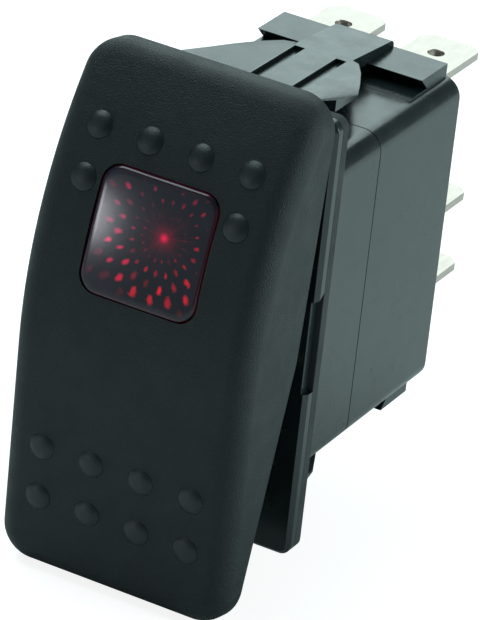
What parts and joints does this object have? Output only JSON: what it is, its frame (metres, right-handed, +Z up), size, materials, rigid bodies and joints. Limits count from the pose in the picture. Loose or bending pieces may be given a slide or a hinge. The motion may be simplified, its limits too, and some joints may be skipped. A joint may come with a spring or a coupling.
{
  "type": "panel rocker switch",
  "caption": "Snap-in rocker switch for a rectangular panel cut-out: matt cap with raised dots and a lit red lens, flanged housing, spring tongues and quick-connect tabs",
  "frame": {"origin": "centre of the panel cut-out, on the panel's front face, where the gasket rests", "axes": "+X right seen from the front, +Y back through the panel, +Z up along the rocker's length"},
  "size_m": [0.0248, 0.0526, 0.051],
  "materials": {
    "cap_plastic": "fine matt grain",
    "housing_plastic": "satin moulded",
    "lever_plastic": "satin moulded",
    "lens_plastic": "clear red",
    "gasket_foam": "fine-celled foam",
    "plunger_plastic": "smooth",
    "spring_steel": "bright wire",
    "tinned_brass": "tinned",
    "copper_strip": "bare strip",
    "silver_contact": "silver",
    "board_laminate": "laminate",
    "led_resin": "clear red resin",
    "resistor_coat": "lacquer"
  },
  "bodies": {
    "housing": {"bezel": "housing_plastic", "panel_gasket": "gasket_foam", "base": "housing_plastic", "fixed_contact": "silver_contact", "terminal_common": "tinned_brass", "terminal_load": "tinned_brass", "lamp_terminal_left": "tinned_brass", "lamp_terminal_right": "tinned_brass", "lamp_board": "board_laminate", "led": "led_resin", "resistor": "resistor_coat", "lamp_spring_left": "spring_steel", "lamp_spring_right": "spring_steel"},
    "rocker": {"rocker_cap": "cap_plastic", "lens": "lens_plastic", "rocker_lever": "lever_plastic", "plunger_spring": "spring_steel"},
    "plunger": {"plunger": "plunger_plastic"},
    "blade": {"contact_blade": "copper_strip", "moving_contact": "silver_contact"}
  },
  "joints": [
    {"name": "rocker_tilt", "type": "hinge", "parent": "housing", "child": "rocker", "pos_m": [0, -0.009, 0], "axis": [1, 0, 0], "range_deg": [0, 21.5]},
    {"name": "plunger_slide", "type": "slide", "parent": "rocker", "child": "plunger", "axis": [0, 0.9825, -0.1865], "range_m": [-0.0008, 0], "stiffness_N_per_m": 800, "springref_m": 0.004, "deforming": ["plunger_spring"]},
    {"name": "blade_rock", "type": "hinge", "parent": "housing", "child": "blade", "pos_m": [0, 0.01605, 0], "axis": [1, 0, 0], "range_deg": [-10.2, 0]}
  ],
  "couplings": [
    {"joint": "blade_rock", "follows": "rocker_tilt", "ratio": -0.4651}
  ]
}
